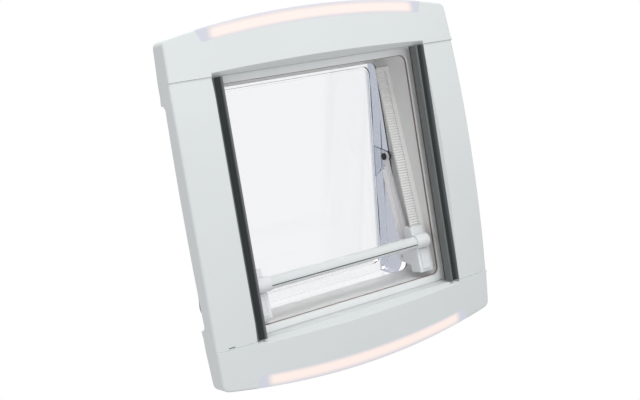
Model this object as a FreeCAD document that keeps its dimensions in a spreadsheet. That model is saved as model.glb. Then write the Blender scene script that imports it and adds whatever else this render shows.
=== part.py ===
import FreeCAD
import Part

import os
import re

import Sketcher

# Camper roof hatch for a square roof cut-out. X runs across, Y runs from the hinge end to the
# opening end, Z points out of the roof. Z is 0 on the roof skin, under the flange of the roof frame.
# All lengths are millimetres and angles are degrees.

SIZES = {
    # roof and the frame clamped to it
    "cutout_half": 200,
    "roof_thickness": 32,
    "flange_width": 35,
    "flange_thick": 5,
    "flange_corner": 45,
    "collar_inset": 9,
    "collar_corner": 18,
    "collar_bottom": -33.5,
    "lip_inset": 12,
    "lip_corner": 13,
    "rim_inset": 17,
    "rim_corner": 11,
    "rim_height": 42,
    "seal_inset": 1,
    "seal_width": 6,
    "seal_height": 4.4,
    "join_gap": 0.3,
    # trim on the room side
    "trim_face": -74,
    "trim_reach": -94,
    "side_rail_width": 68,
    "side_bow": 3,
    "end_rail_width": 62,
    "end_bow": 25,
    "trim_corner": 12,
    "trim_wall": 3,
    "trim_edge": 4,
    "crown_radius": 2820,
    "rail_step": 1.5,
    "side_back": -44,
    "seam_depth": 6,
    "seam_run": 22,
    "tab_length": 9,
    "tab_slant": 6,
    "trim_floor": -64,
    "end_flare_top": -66,
    "flare_rate": 0.75,
    "lining_drop": 8,
    "lining_step": 4,
    # light strips in the end rails
    "light_start": 4,
    "light_slant": 20,
    "light_inset": 52,
    "light_bow": 12,
    "light_past": 100,
    "light_top": -54,
    # dark guide channels
    "guide_width": 17,
    "guide_lip": 3.6,
    "guide_edge": 1.4,
    "guide_hollow": 3.5,
    "guide_drop": 15,
    "guide_thick": 2.5,
    "guide_end_gap": 1,
    # toothed racks
    "rack_slope": 5.92,
    "rack_inset": 43,
    "rack_width": 17,
    "rack_thick": 4,
    "rack_start_in": 27,
    "rack_end_in": 27,
    "rack_level": -10,
    "rack_round": 5,
    "web_recess": 1.4,
    "tooth_pitch": 4.5,
    "tooth_depth": 1.3,
    "tooth_margin": 9,
    "notch_length": 2.2,
    "notch_width": 2.4,
    # hinge
    "hinge_past": 14,
    "hinge_z": 40,
    "hinge_x": 120,
    "hinge_pin_radius": 3,
    "hinge_bore_gap": 0.25,
    "knuckle_radius": 7,
    "lug_half_width": 13,
    "lug_thick": 5,
    "lug_lap": 9,
    "ear_width": 10,
    "ear_gap": 1,
    # dome
    "rest_angle": 9,
    "dome_inset": 6,
    "dome_corner": 24,
    "dome_sheet": 3,
    "dome_top": 87,
    "dome_radius": 1100,
    "bubble_inset": 19,
    "bubble_corner": 22,
    "bubble_draft": 5,
    "pane_bottom": 47,
    "field_inset": 27,
    "field_corner": 12,
    "pane_rise": 6,
    # lift arms and their pivots, in the rest pose
    "arm_top_y": -20,
    "arm_top_z": 40,
    "foot_in": 48,
    "foot_rise": 33.76,
    "arm_inset": 30.5,
    "arm_thick": 4,
    "arm_top_eye": 8,
    "arm_eye": 9,
    "arm_half_width": 8,
    "arm_bow": 4,
    "arm_taper": 0.7,
    "arm_flange": 8.5,
    "arm_flange_thick": 2.5,
    "pin_radius": 3,
    "pin_gap": 0.3,
    "bolt_head": 2.5,
    "bracket_gap": 1,
    "bracket_thick": 3.5,
    "bracket_heel": 13,
    "bracket_toe": 42,
    # slider blocks and push bar
    "bar_in": 74.5,
    "bar_drop": 14,
    "bar_radius": 10,
    "bar_short": 55,
    "groove_width": 1.6,
    "groove_depth": 2.5,
    "groove_shift": 2.6,
    "socket_radius": 12,
    "socket_length": 26,
    "block_inset": 51,
    "block_width": 26,
    "block_start_in": 99,
    "block_end_in": 22,
    "block_front": 9,
    "block_back": 6,
    "shoe_gap": 2.5,
    "foot_ear": 7,
    "button_in": 44,
    "button_half_width": 8,
    "button_half_length": 17,
    "button_corner": 3,
    "button_height": 3,
    "button_rim": 2.5,
    "button_dish": 0.8,
}

# Places that follow from the sizes, so that all pieces move with the cut-out they are fitted to.
PLACES = {
    "flange_half": "(cutout_half + flange_width)",
    "collar_outer": "(cutout_half - collar_inset)",
    "lip_half": "(cutout_half - lip_inset)",
    "rim_half": "(cutout_half - rim_inset)",
    "trim_half_x": "(cutout_half + side_rail_width)",
    "trim_corner_x": "(cutout_half + side_rail_width - side_bow)",
    "trim_corner_y": "(cutout_half + end_rail_width)",
    "trim_mid_y": "(cutout_half + end_rail_width + end_bow)",
    "light_inner_x": "(cutout_half + light_start)",
    "light_outer_x": "(cutout_half + light_start + light_slant)",
    "light_end_y": "(cutout_half + light_inset)",
    "light_mid_y": "(cutout_half + light_inset + light_bow)",
    "light_past_y": "(cutout_half + light_past)",
    "guide_inner": "(cutout_half - guide_width)",
    "guide_half_length": "(cutout_half - guide_end_gap)",
    "rack_inner": "(cutout_half - rack_inset)",
    "rack_outer": "(cutout_half - rack_inset + rack_width)",
    "rack_start": "(rack_start_in - cutout_half)",
    "rack_end": "(cutout_half - rack_end_in)",
    "hinge_y": "(-cutout_half - hinge_past)",
    "dome_half": "(cutout_half - dome_inset)",
    "dome_bottom": "(pane_bottom + dome_sheet + join_gap)",
    "bubble_half": "(cutout_half - bubble_inset)",
    "field_half": "(cutout_half - field_inset)",
    "arm_foot_y": "(cutout_half - foot_in)",
    "arm_foot_z": "(rack_level - (cutout_half - foot_in) * tan(rack_slope * 1deg) + foot_rise)",
    "arm_inner": "(cutout_half - arm_inset)",
    "flange_inner": "(cutout_half - arm_inset - arm_flange)",
    "bar_y": "(cutout_half - bar_in)",
    "bar_z": "(rack_level - (cutout_half - bar_in) * tan(rack_slope * 1deg) - bar_drop)",
    "bar_half_length": "(cutout_half - bar_short)",
    "block_inner": "(cutout_half - block_inset)",
    "block_outer": "(cutout_half - block_inset + block_width)",
    "block_start": "(cutout_half - block_start_in)",
    "block_end": "(cutout_half - block_end_in)",
    "button_y": "(cutout_half - button_in)",
}

os.makedirs("parts", exist_ok=True)
doc = FreeCAD.newDocument("roof_hatch")
sheet = doc.addObject("Spreadsheet::Sheet", "Sizes")
for row, (alias, number) in enumerate(SIZES.items(), start=1):
    sheet.set("A%d" % row, str(number))
    sheet.setAlias("A%d" % row, alias)
doc.recompute()

WORDS = re.compile(r"[a-z][a-z_]*[a-z]")


def bound(text):
    """The expression with every place written out and every size read from the sheet."""
    text = WORDS.sub(lambda m: PLACES.get(m.group(0), m.group(0)), text)
    return WORDS.sub(lambda m: "Sizes." + m.group(0) if m.group(0) in SIZES else m.group(0), text)


def value(text):
    """The number an expression gives with the present sizes."""
    result = sheet.evalExpression(bound(text))
    return float(getattr(result, "Value", result))


def new_body(label):
    body = doc.addObject("PartDesign::Body", label)
    body.Label = label
    return body


def on_plane(body, name, plane, offset):
    """An empty sketch on one of the body's own planes, moved along the plane's normal."""
    index = {"XY": 3, "XZ": 4, "YZ": 5}[plane]
    sketch = body.newObject("Sketcher::SketchObject", name)
    sketch.AttachmentSupport = (body.Origin.OriginFeatures[index], [""])
    sketch.MapMode = "FlatFace"
    sketch.setExpression("AttachmentOffset.Base.z", bound(offset))
    return sketch


def outline(body, name, plane, offset, corners, arcs=None):
    """A closed outline through corners given as expressions. arcs maps a side to its radius and sign."""
    sketch = on_plane(body, name, plane, offset)
    arcs = arcs or {}
    points = [FreeCAD.Vector(value(x), value(y), 0) for x, y in corners]
    count = len(points)
    for i in range(count):
        first, second = points[i], points[(i + 1) % count]
        if i not in arcs:
            sketch.addGeometry(Part.LineSegment(first, second))
            continue
        radius, side = arcs[i]
        chord = second - first
        reach = value(radius)
        rise = reach - (reach ** 2 - chord.Length ** 2 / 4) ** 0.5
        across = FreeCAD.Vector(chord.y, -chord.x, 0).normalize() * rise * side
        sketch.addGeometry(Part.Arc(first, (first + second) * 0.5 + across, second))
    starts = [2 if i in arcs and arcs[i][1] < 0 else 1 for i in range(count)]
    for i in range(count):
        after = (i + 1) % count
        sketch.addConstraint(Sketcher.Constraint("Coincident", i, 3 - starts[i], after, starts[after]))
    for i, (x, y) in enumerate(corners):
        for kind, text in (("DistanceX", x), ("DistanceY", y)):
            index = sketch.addConstraint(Sketcher.Constraint(kind, -1, 1, i, starts[i], value(text)))
            sketch.setExpression("Constraints[%d]" % index, bound(text))
    for i, (radius, side) in arcs.items():
        index = sketch.addConstraint(Sketcher.Constraint("Radius", i, value(radius)))
        sketch.setExpression("Constraints[%d]" % index, bound(radius))
    return sketch


def rounded(body, name, offset, half_x, half_y, radius):
    """A rounded rectangle about the origin, lying level at the given height."""
    sketch = on_plane(body, name, "XY", offset)
    a, b, r = value(half_x), value(half_y), value(radius)
    spots = [(a - r, r - b), (a - r, b - r), (r - a, b - r), (r - a, r - b)]
    ends = [((r - a, -b), (a - r, -b)), ((a, r - b), (a, b - r)),
            ((a - r, b), (r - a, b)), ((-a, b - r), (-a, r - b))]
    quarter = 1.5707963267948966
    for i in range(4):
        sketch.addGeometry(Part.LineSegment(*[FreeCAD.Vector(x, y, 0) for x, y in ends[i]]))
        centre = FreeCAD.Vector(spots[i][0], spots[i][1], 0)
        circle = Part.Circle(centre, FreeCAD.Vector(0, 0, 1), r)
        sketch.addGeometry(Part.ArcOfCircle(circle, (i - 1) * quarter, i * quarter))
    for i in range(4):
        sketch.addConstraint(Sketcher.Constraint("Tangent", 2 * i, 2, 2 * i + 1, 1))
        sketch.addConstraint(Sketcher.Constraint("Tangent", 2 * i + 1, 2, (2 * i + 2) % 8, 1))
        sketch.addConstraint(Sketcher.Constraint("Horizontal" if i % 2 == 0 else "Vertical", 2 * i))
    for i in (1, 3, 5):
        sketch.addConstraint(Sketcher.Constraint("Equal", i, i + 2))
    named = [("Radius", (1,), radius), ("DistanceY", (-1, 1, 0, 1), "-(" + half_y + ")"),
             ("DistanceX", (-1, 1, 2, 1), half_x), ("DistanceY", (-1, 1, 4, 1), half_y),
             ("DistanceX", (-1, 1, 6, 1), "-(" + half_x + ")")]
    for kind, places, text in named:
        index = sketch.addConstraint(Sketcher.Constraint(kind, *places, value(text)))
        sketch.setExpression("Constraints[%d]" % index, bound(text))
    return sketch


def disc(body, name, plane, offset, spot, radius):
    """A circle on one of the body's planes."""
    sketch = on_plane(body, name, plane, offset)
    centre = FreeCAD.Vector(value(spot[0]), value(spot[1]), 0)
    sketch.addGeometry(Part.Circle(centre, FreeCAD.Vector(0, 0, 1), value(radius)))
    named = [("DistanceX", (-1, 1, 0, 3), spot[0]), ("DistanceY", (-1, 1, 0, 3), spot[1]),
             ("Radius", (0,), radius)]
    for kind, places, text in named:
        index = sketch.addConstraint(Sketcher.Constraint(kind, *places, value(text)))
        sketch.setExpression("Constraints[%d]" % index, bound(text))
    return sketch


def grow(body, kind, name, sketch, length, back=False):
    """A pad or pocket of the sketch. A pad follows the plane's normal and a pocket goes against it."""
    feature = body.newObject("PartDesign::" + kind, name)
    feature.Profile = sketch
    feature.setExpression("Length", bound(length))
    feature.Reversed = back
    return feature


def loft_cut(body, name, lower, upper):
    feature = body.newObject("PartDesign::SubtractiveLoft", name)
    feature.Profile = lower
    feature.Sections = [upper]
    feature.Ruled = True
    return feature


def round_edges(body, name, base, radius, wanted):
    """Round the edges of a feature that the test picks."""
    doc.recompute()
    picked = ["Edge%d" % (i + 1) for i, edge in enumerate(base.Shape.Edges) if wanted(edge)]
    feature = body.newObject("PartDesign::Fillet", name)
    feature.Base = (base, picked)
    feature.setExpression("Radius", bound(radius))
    return feature


def join(kind, label, first, second):
    """A cut or a common of two solids."""
    result = doc.addObject("Part::" + kind, label)
    result.Base = first
    result.Tool = second
    result.Label = label
    return result


def mirrored(label, source, normal):
    result = doc.addObject("Part::Mirroring", label)
    result.Source = source
    result.Normal = FreeCAD.Vector(*normal)
    result.Label = label
    return result


ACROSS = (1, 0, 0)
ALONG = (0, 1, 0)
nodes = []

# Roof frame: the flange on the roof skin, the upstand above it and the collar through the cut-out.
roof_frame = new_body("roof_frame")
flange_plan = rounded(roof_frame, "flange_plan", "0", "flange_half", "flange_half", "flange_corner")
grow(roof_frame, "Pad", "flange", flange_plan, "flange_thick")
collar_plan = rounded(roof_frame, "collar_plan", "collar_bottom",
                      "collar_outer", "collar_outer", "collar_corner")
grow(roof_frame, "Pad", "collar", collar_plan, "rim_height - collar_bottom")
lip_plan = rounded(roof_frame, "lip_plan", "collar_bottom", "lip_half", "lip_half", "lip_corner")
rim_plan = rounded(roof_frame, "rim_plan", "rim_height", "rim_half", "rim_half", "rim_corner")
loft_cut(roof_frame, "passage", lip_plan, rim_plan)
nodes.append(roof_frame)

# Rubber seal lying on the rim of the upstand.
rim_seal = new_body("rim_seal")
seal_out = "rim_half + seal_inset + seal_width"
seal_plan = rounded(rim_seal, "seal_plan", "rim_height", seal_out, seal_out,
                    "rim_corner + seal_inset + seal_width")
grow(rim_seal, "Pad", "seal_ring", seal_plan, "seal_height")
seal_in = "rim_half + seal_inset"
seal_hole = rounded(rim_seal, "seal_hole", "rim_height", seal_in, seal_in, "rim_corner + seal_inset")
grow(rim_seal, "Pocket", "seal_passage", seal_hole, "seal_height", back=True)
nodes.append(rim_seal)

# Lining ring between the collar and the rails, with a step that takes the edge of the collar.
lining = new_body("lining_ring")
lining_out = "cutout_half - join_gap"
lining_plan = rounded(lining, "lining_plan", "-roof_thickness", lining_out, lining_out, "collar_corner")
grow(lining, "Pad", "lining_plate", lining_plan, "lining_drop", back=True)
lining_hole = rounded(lining, "lining_hole", "-roof_thickness", "lip_half", "lip_half", "lip_corner")
grow(lining, "Pocket", "lining_passage", lining_hole, "lining_drop")
step_half = "collar_outer + join_gap"
step_plan = rounded(lining, "step_plan", "-roof_thickness", step_half, step_half, "collar_corner + join_gap")
grow(lining, "Pocket", "collar_step", step_plan, "lining_step")
nodes.append(lining)

# The crown is one large ball that gives the room side of all four rails its gentle swell.
crown = doc.addObject("Part::Sphere", "crown_form")
crown.setExpression("Radius", bound("crown_radius"))
crown_centre = "trim_face + sqrt(crown_radius * crown_radius - 2 * cutout_half * cutout_half)"
crown.setExpression("Placement.Base.z", bound(crown_centre))
side_crown = doc.addObject("Part::Sphere", "side_crown_form")
side_crown.setExpression("Radius", bound("crown_radius"))
side_crown.setExpression("Placement.Base.z", bound(crown_centre + " + rail_step"))


def bow_radius(half, rise):
    return "((%s) * (%s) + (%s) * (%s)) / (2 * (%s))" % (half, half, rise, rise, rise)


# End rails: bowed outside edge, flared inside edge, hollow at the back, with the light strip let in.
end_form = new_body("end_form")
end_corners = [("-trim_half_x", "cutout_half + join_gap"), ("trim_half_x", "cutout_half + join_gap"),
               ("trim_corner_x", "trim_corner_y"), ("-trim_corner_x", "trim_corner_y")]
end_arc = bow_radius("trim_corner_x", "end_bow")
end_plan = outline(end_form, "end_plan", "XY", "-roof_thickness", end_corners, {2: (end_arc, 1)})
grow(end_form, "Pad", "end_pad", end_plan, "-roof_thickness - trim_reach", back=True)
flare_run = "cutout_half + flare_rate * (end_flare_top - trim_reach)"
end_flare = [("cutout_half - 1", "end_flare_top"), ("cutout_half", "end_flare_top"),
             (flare_run, "trim_reach - 1"), ("cutout_half - 1", "trim_reach - 1")]
flare_plan = outline(end_form, "flare_plan", "YZ", "-cutout_half", end_flare)
grow(end_form, "Pocket", "end_flare", flare_plan, "2 * cutout_half", back=True)
seam_top = "trim_face + seam_depth"
round_edges(end_form, "end_corners", end_form.Tip, "trim_corner",
            lambda e: abs(e.tangentAt(e.FirstParameter).z) > 0.99
            and abs(e.Vertexes[0].Point.y) > value("trim_corner_y") - 1)
end_hollow = new_body("end_hollow")
hollow_corners = [("-trim_half_x + 2 * trim_wall", "cutout_half + 2 * trim_wall"),
                  ("trim_half_x - 2 * trim_wall", "cutout_half + 2 * trim_wall"),
                  ("trim_corner_x - 2 * trim_wall", "trim_corner_y - 3 * trim_wall"),
                  ("-trim_corner_x + 2 * trim_wall", "trim_corner_y - 3 * trim_wall")]
hollow_plan = outline(end_hollow, "end_hollow_plan", "XY", "trim_floor", hollow_corners)
grow(end_hollow, "Pad", "end_hollow_pad", hollow_plan, "-roof_thickness - trim_floor + 1")
light_form = new_body("light_form")
light_corners = [("-light_inner_x", "light_end_y"), ("light_inner_x", "light_end_y"),
                 ("light_outer_x", "light_past_y"), ("-light_outer_x", "light_past_y")]
light_arc = bow_radius("light_inner_x", "light_bow")
light_plan = outline(light_form, "light_plan", "XY", "light_top", light_corners, {0: (light_arc, -1)})
grow(light_form, "Pad", "light_pad", light_plan, "light_top - trim_reach + 1", back=True)
end_sharp = join("Common", "end_sharp", end_form, crown)


def softened(label, source, radius, wanted):
    """The solid with the edges that the test picks rounded off."""
    doc.recompute()
    result = doc.addObject("Part::Fillet", label)
    result.Base = source
    result.Edges = [(i + 1, value(radius), value(radius))
                    for i, edge in enumerate(source.Shape.Edges) if wanted(edge)]
    result.Label = label
    return result


def on_crown(edge, centre):
    """Whether both ends and the middle of an edge lie on the crowned face."""
    spots = [edge.valueAt(edge.FirstParameter + share * (edge.LastParameter - edge.FirstParameter))
             for share in (0, 0.5, 1)]
    middle = FreeCAD.Vector(0, 0, value(centre))
    return all(abs((spot - middle).Length - value("crown_radius")) < 0.01 for spot in spots)


def is_end_rim(edge):
    spot = edge.CenterOfMass
    at_end = spot.y > value("trim_corner_y - trim_corner")
    at_side = abs(spot.x) > value("trim_half_x - trim_corner / 2")
    return on_crown(edge, crown_centre) and (at_end or at_side)


def is_side_rim(edge):
    return on_crown(edge, crown_centre + " + rail_step") and edge.CenterOfMass.x > value("trim_half_x")


right_wedge = new_body("right_wedge")
wedge = [("cutout_half + join_gap", seam_top), ("cutout_half + trim_wall", seam_top),
         ("cutout_half + trim_wall", "-roof_thickness"),
         ("cutout_half + join_gap - seam_run", "-roof_thickness")]
wedge_plan = outline(right_wedge, "wedge_plan", "YZ", "cutout_half + join_gap", wedge)
grow(right_wedge, "Pad", "wedge_pad", wedge_plan, "side_rail_width - join_gap")
left_wedge = mirrored("left_wedge", right_wedge, ACROSS)
end_soft = softened("end_soft", end_sharp, "trim_edge", is_end_rim)
end_wedged = join("Fuse", "end_wedged", end_soft, right_wedge)
end_solid = join("Fuse", "end_solid", end_wedged, left_wedge)
opening_light = join("Common", "opening_end_light", end_solid, light_form)
end_shell = join("Cut", "end_shell", end_solid, end_hollow)
opening_rail = join("Cut", "opening_end_rail", end_shell, light_form)
hinge_light = mirrored("hinge_end_light", opening_light, ALONG)
hinge_rail = mirrored("hinge_end_rail", opening_rail, ALONG)
nodes += [opening_rail, opening_light, hinge_rail, hinge_light]

# Side rails between the end rails: slanted ends, a slightly bowed outside edge and a flared inside edge.
side_form = new_body("side_form")
side_corners = [("cutout_half + join_gap", "-cutout_half"), ("trim_half_x", "-cutout_half"),
                ("trim_half_x", "cutout_half"), ("cutout_half + join_gap", "cutout_half")]
side_arc = bow_radius("cutout_half", "side_bow")
side_plan = outline(side_form, "side_plan", "XY", "-roof_thickness", side_corners, {1: (side_arc, 1)})
grow(side_form, "Pad", "side_pad", side_plan, "-roof_thickness - trim_reach", back=True)
side_flare_run = "cutout_half + flare_rate * (trim_face - trim_reach)"
side_flare = [("cutout_half - 1", "trim_face"), ("cutout_half", "trim_face"),
              (side_flare_run, "trim_reach - 1"), ("cutout_half - 1", "trim_reach - 1")]
side_flare_plan = outline(side_form, "side_flare_plan", "XZ", "-cutout_half", side_flare)
grow(side_form, "Pocket", "side_flare", side_flare_plan, "2 * cutout_half", back=True)
for name, sign in (("opening_end", ""), ("hinge_end", "-")):
    slant = [(sign + "(cutout_half)", seam_top), (sign + "(cutout_half + 1)", seam_top),
             (sign + "(cutout_half + 1)", "-roof_thickness + 1"),
             (sign + "(cutout_half - seam_run)", "-roof_thickness + 1"),
             (sign + "(cutout_half - seam_run)", "-roof_thickness")]
    slant_plan = outline(side_form, name + "_slant_plan", "YZ", "cutout_half", slant)
    grow(side_form, "Pocket", name + "_slant", slant_plan, "side_rail_width + 2 * side_bow", back=True)
tab_end = "(cutout_half - seam_run - tab_length)"
back_cut = [("-" + tab_end, "-roof_thickness + 1"), (tab_end, "-roof_thickness + 1"),
            (tab_end, "side_back + tab_slant"), (tab_end + " - tab_slant", "side_back"),
            ("-" + tab_end + " + tab_slant", "side_back"), ("-" + tab_end, "side_back + tab_slant")]
back_cut_plan = outline(side_form, "back_cut_plan", "YZ", "cutout_half", back_cut)
grow(side_form, "Pocket", "back_cut", back_cut_plan, "side_rail_width + 2 * side_bow", back=True)
hollow_end = "(cutout_half - seam_run - 2 * trim_wall)"
side_hollow = [("cutout_half + 2 * trim_wall", "-" + hollow_end),
               ("trim_half_x - trim_wall", "-" + hollow_end),
               ("trim_half_x - trim_wall", hollow_end), ("cutout_half + 2 * trim_wall", hollow_end)]
side_hollow_plan = outline(side_form, "side_hollow_plan", "XY", "-roof_thickness", side_hollow)
grow(side_form, "Pocket", "side_hollow", side_hollow_plan, "-roof_thickness - trim_floor")
side_sharp = join("Common", "side_sharp", side_form, side_crown)
right_rail = softened("right_side_rail", side_sharp, "trim_edge", is_side_rim)
left_rail = mirrored("left_side_rail", right_rail, ACROSS)
nodes += [right_rail, left_rail]

# Dark guide channels along both sides of the opening.
guide = new_body("right_guide")
lip_start = "guide_inner + guide_lip"
guide_corners = [("cutout_half", "trim_face"), ("cutout_half - guide_edge", "trim_face"),
                 (lip_start, "trim_face"), ("guide_inner", "trim_face"),
                 ("guide_inner", "trim_face + guide_drop"),
                 ("guide_inner + guide_thick", "trim_face + guide_drop"),
                 ("guide_inner + guide_thick", "trim_face + guide_hollow + guide_thick"),
                 ("cutout_half", "trim_face + guide_hollow + guide_thick")]
guide_arc = bow_radius("(guide_width - guide_edge - guide_lip) / 2", "guide_hollow")
guide_plan = outline(guide, "guide_plan", "XZ", "-guide_half_length", guide_corners, {1: (guide_arc, 1)})
grow(guide, "Pad", "guide_pad", guide_plan, "2 * guide_half_length")
nodes += [guide, mirrored("left_guide", guide, ACROSS)]

def face_at(y, above):
    """Height of a line parallel to the toothed face of the rack, at a place along the hatch."""
    return "rack_level - (%s) * tan(rack_slope * 1deg) + (%s)" % (y, above)


# Toothed racks on the side walls. Each slopes down towards the opening end, with a row of teeth and notches.
rack = new_body("right_rack")
rack_plan = outline(rack, "rack_plan", "YZ", "rack_inner", [
    ("rack_start", face_at("rack_start", "0")), ("rack_end", face_at("rack_end", "0")),
    ("rack_end", face_at("rack_end", "rack_thick")), ("rack_start", face_at("rack_start", "rack_thick"))])
rack_bar = grow(rack, "Pad", "rack_bar", rack_plan, "lip_half - rack_inner")
round_edges(rack, "rack_round_end", rack_bar, "rack_round",
            lambda e: abs(e.tangentAt(e.FirstParameter).z) > 0.999
            and e.CenterOfMass.x < value("rack_inner + 1") and e.CenterOfMass.y < 0)
web_plan = outline(rack, "web_plan", "YZ", "rack_outer", [
    ("rack_start - 1", face_at("rack_start - 1", "-1")), ("rack_end + 1", face_at("rack_end + 1", "-1")),
    ("rack_end + 1", face_at("rack_end + 1", "web_recess")),
    ("rack_start - 1", face_at("rack_start - 1", "web_recess"))])
grow(rack, "Pocket", "web_face", web_plan, "lip_half - rack_outer", back=True)


def wall_at(z):
    """Place of the collar's tapered wall at a height, less the gap that the rack keeps to it."""
    lean = "(lip_half - rim_half) / (rim_height - collar_bottom)"
    return "lip_half - %s * (%s - collar_bottom) - join_gap" % (lean, z)


wall_cut = [(wall_at("(collar_bottom)"), "collar_bottom"), ("lip_half + 1", "collar_bottom"),
            ("lip_half + 1", "rim_height"), (wall_at("(rim_height)"), "rim_height")]
wall_cut_plan = outline(rack, "wall_cut_plan", "XZ", "cutout_half", wall_cut)
grow(rack, "Pocket", "wall_side", wall_cut_plan, "2 * cutout_half")
tooth_y = "(rack_start + tooth_margin)"
tooth_plan = outline(rack, "tooth_plan", "YZ", "rack_inner", [
    ("%s - tooth_pitch / 2" % tooth_y, face_at("%s - tooth_pitch / 2" % tooth_y, "-tooth_depth / 10")),
    ("%s + tooth_pitch / 2" % tooth_y, face_at("%s + tooth_pitch / 2" % tooth_y, "-tooth_depth / 10")),
    (tooth_y, face_at(tooth_y, "tooth_depth"))])
tooth = grow(rack, "Pocket", "tooth", tooth_plan, "rack_width", back=True)
notch_plan = outline(rack, "notch_plan", "XY", "rim_height", [
    ("rack_outer", "%s - notch_length / 2" % tooth_y),
    ("rack_outer + notch_width", "%s - notch_length / 2" % tooth_y),
    ("rack_outer + notch_width", "%s + notch_length / 2" % tooth_y),
    ("rack_outer", "%s + notch_length / 2" % tooth_y)])
notch = grow(rack, "Pocket", "notch", notch_plan, "2 * rim_height")
teeth = rack.newObject("PartDesign::LinearPattern", "teeth")
teeth.Originals = [tooth, notch]
teeth.Direction = (rack_plan, ["Edge1"])
room = "(rack_end - rack_start - 2 * tooth_margin)"
teeth.setExpression("Occurrences", bound("floor(%s / tooth_pitch) + 1" % room))
teeth.setExpression("Length", bound("floor(%s / tooth_pitch) * tooth_pitch" % room))
rack.Tip = teeth
nodes += [rack, mirrored("left_rack", rack, ACROSS)]


def ear_profile(body, name, offset, length, spot, radius, base, hole):
    """A lug that rises from a base to a rounded eye with a bore through it."""
    plan = outline(body, name + "_plan", "YZ", offset, base)
    grow(body, "Pad", name + "_web", plan, length)
    eye = disc(body, name + "_eye_plan", "YZ", offset, spot, radius)
    grow(body, "Pad", name + "_eye", eye, length)
    bore = disc(body, name + "_bore_plan", "YZ", offset, spot, hole)
    grow(body, "Pocket", name + "_bore", bore, length, back=True)


# Hinge ears standing on the flange, with a pin through each pair.
hinge_spot = ("hinge_y", "hinge_z")
hinge_hole = "hinge_pin_radius + hinge_bore_gap"
ear_base = [("hinge_y - knuckle_radius", "flange_thick"), ("hinge_y + knuckle_radius", "flange_thick"),
            ("hinge_y + knuckle_radius", "hinge_z"), ("hinge_y - knuckle_radius", "hinge_z")]
outer_ear = new_body("right_outer_ear")
ear_profile(outer_ear, "outer_ear", "hinge_x + lug_half_width + ear_gap", "ear_width",
            hinge_spot, "knuckle_radius", ear_base, hinge_hole)
inner_ear = new_body("right_inner_ear")
ear_profile(inner_ear, "inner_ear", "hinge_x - lug_half_width - ear_gap - ear_width", "ear_width",
            hinge_spot, "knuckle_radius", ear_base, hinge_hole)
hinge_pin = new_body("right_hinge_pin")
pin_plan = disc(hinge_pin, "hinge_pin_plan", "YZ", "hinge_x - lug_half_width - ear_gap - ear_width",
                hinge_spot, "hinge_pin_radius")
grow(hinge_pin, "Pad", "hinge_pin_pad", pin_plan, "2 * (lug_half_width + ear_gap + ear_width)")
nodes += [outer_ear, inner_ear, hinge_pin]
nodes += [mirrored("left_outer_ear", outer_ear, ACROSS), mirrored("left_inner_ear", inner_ear, ACROSS)]
nodes.append(mirrored("left_hinge_pin", hinge_pin, ACROSS))

# Everything on the lid is drawn closed and then turned up about the hinge to the rest pose.
HINGE = FreeCAD.Vector(0, value("hinge_y"), value("hinge_z"))
RAISED = FreeCAD.Rotation(FreeCAD.Vector(1, 0, 0), value("rest_angle"))


def raise_lid(item):
    item.Placement = FreeCAD.Placement(FreeCAD.Vector(0, 0, 0), RAISED, HINGE)


# Outer dome: a thin clear bubble with a flat flange that closes on the seal.
def bubble(label, base, reach, corner):
    """A block with drafted sides, wider at the flange than at the crown."""
    body = new_body(label)
    low = rounded(body, label + "_low", base, reach, reach, corner)
    top = reach + " - bubble_draft"
    high = rounded(body, label + "_high", "dome_top + dome_sheet", top, top, corner)
    form = body.newObject("PartDesign::AdditiveLoft", label + "_form")
    form.Profile = low
    form.Sections = [high]
    form.Ruled = True
    return body


def ball(label, radius):
    sphere = doc.addObject("Part::Sphere", label)
    sphere.setExpression("Radius", bound(radius))
    sphere.setExpression("Placement.Base.z", bound("dome_top - dome_radius"))
    return sphere


dome_flange = new_body("dome_flange")
dome_plan = rounded(dome_flange, "dome_plan", "dome_bottom", "dome_half", "dome_half", "dome_corner")
grow(dome_flange, "Pad", "flange_sheet", dome_plan, "dome_sheet")
bubble_outside = bubble("bubble_outside", "dome_bottom", "bubble_half", "bubble_corner")
bubble_inside = bubble("bubble_inside", "dome_bottom - 1", "bubble_half - dome_sheet",
                       "bubble_corner - dome_sheet")
dome_crown = join("Common", "dome_crown", bubble_outside, ball("outside_ball", "dome_radius"))
dome_core = join("Common", "dome_core", bubble_inside, ball("inside_ball", "dome_radius - dome_sheet"))
dome_full = join("Fuse", "dome_full", dome_flange, dome_crown)
outer_dome = join("Cut", "outer_dome", dome_full, dome_core)
raise_lid(outer_dome)
nodes.append(outer_dome)

# Inner pane: a flat clear sheet under the flange of the dome, with a low raised field.
inner_pane = new_body("inner_pane")
sheet_plan = rounded(inner_pane, "sheet_plan", "pane_bottom", "dome_half", "dome_half", "dome_corner")
grow(inner_pane, "Pad", "sheet_pad", sheet_plan, "dome_sheet")
field_out = "field_half + dome_sheet"
field_plan = rounded(inner_pane, "field_plan", "pane_bottom", field_out, field_out,
                     "field_corner + dome_sheet")
grow(inner_pane, "Pad", "field_pad", field_plan, "pane_rise + dome_sheet")
recess_plan = rounded(inner_pane, "recess_plan", "pane_bottom", "field_half", "field_half", "field_corner")
grow(inner_pane, "Pocket", "field_recess", recess_plan, "pane_rise", back=True)
raise_lid(inner_pane)
nodes.append(inner_pane)

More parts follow.
